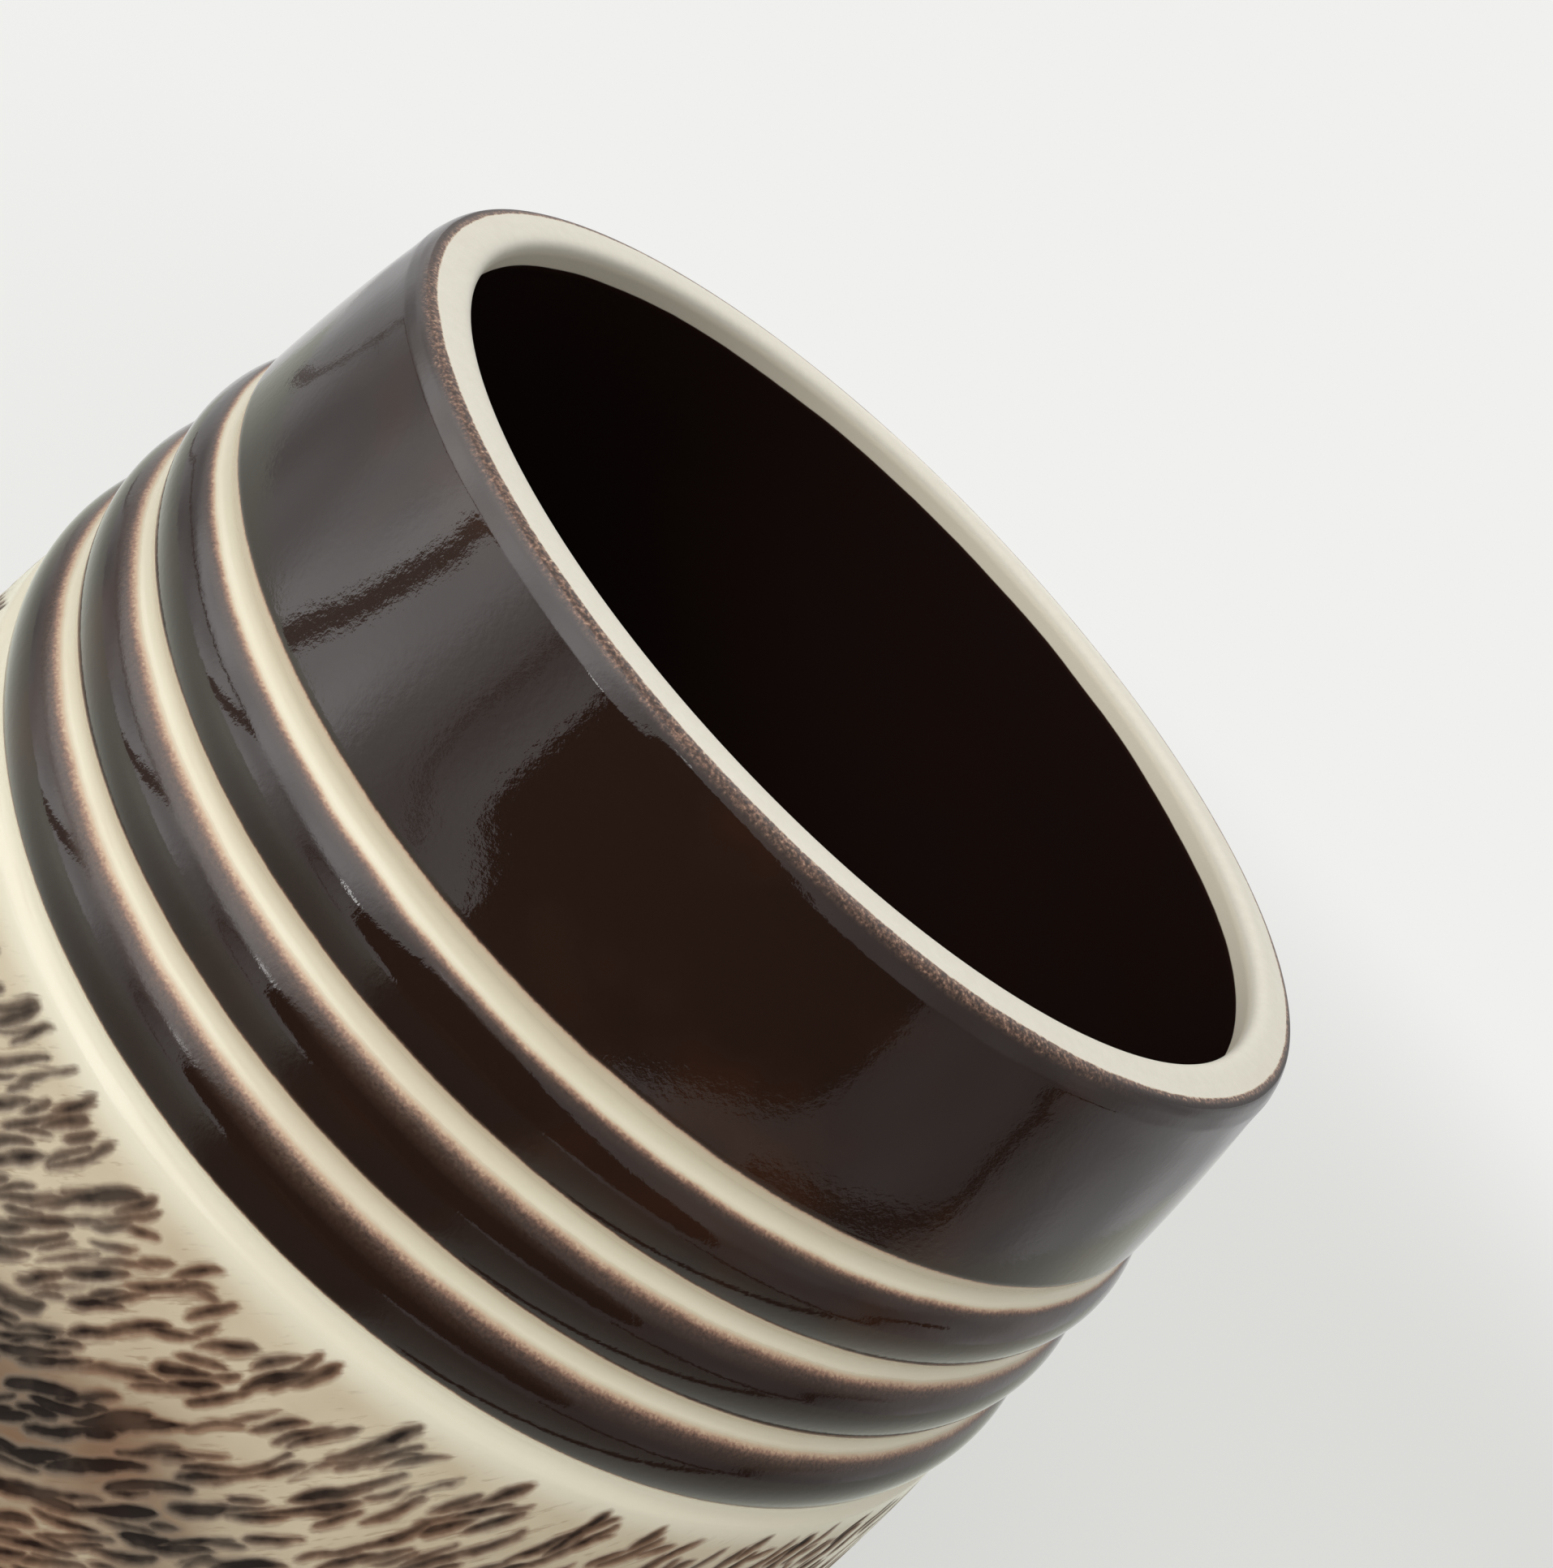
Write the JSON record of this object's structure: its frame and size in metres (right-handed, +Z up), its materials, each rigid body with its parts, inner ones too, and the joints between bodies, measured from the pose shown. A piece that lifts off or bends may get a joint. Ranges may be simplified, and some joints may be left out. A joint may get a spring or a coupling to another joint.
{
  "type": "lidded stoneware pot",
  "caption": "Barrel-shaped glazed stoneware pot with a flared neck, a ribbed shoulder and a wide open mouth, with its loose domed knob lid standing beside it.",
  "frame": {"origin": "centre of the foot ring, on the surface that the pot stands on", "axes": "+Z up along the pot's axis, out of its mouth; the pictured side faces -Y and the lid stands on the +Y side"},
  "size_m": [0.116, 0.2216, 0.158],
  "materials": {
    "pot_glaze": "cream glaze with recessed dark dashes on the body, dark brown gloss on neck and ribs, bare clay on lip and foot",
    "lid_glaze": "dark brown gloss with one cream groove, bare clay on the seat and flange"
  },
  "bodies": {
    "pot": {"pot": "pot_glaze"},
    "lid": {"lid": "lid_glaze"}
  },
  "joints": [
    {"name": "lid_lift", "type": "slide", "parent": "pot", "child": "lid", "axis": [0, 0, 1], "range_m": [0, 0.18]}
  ]
}
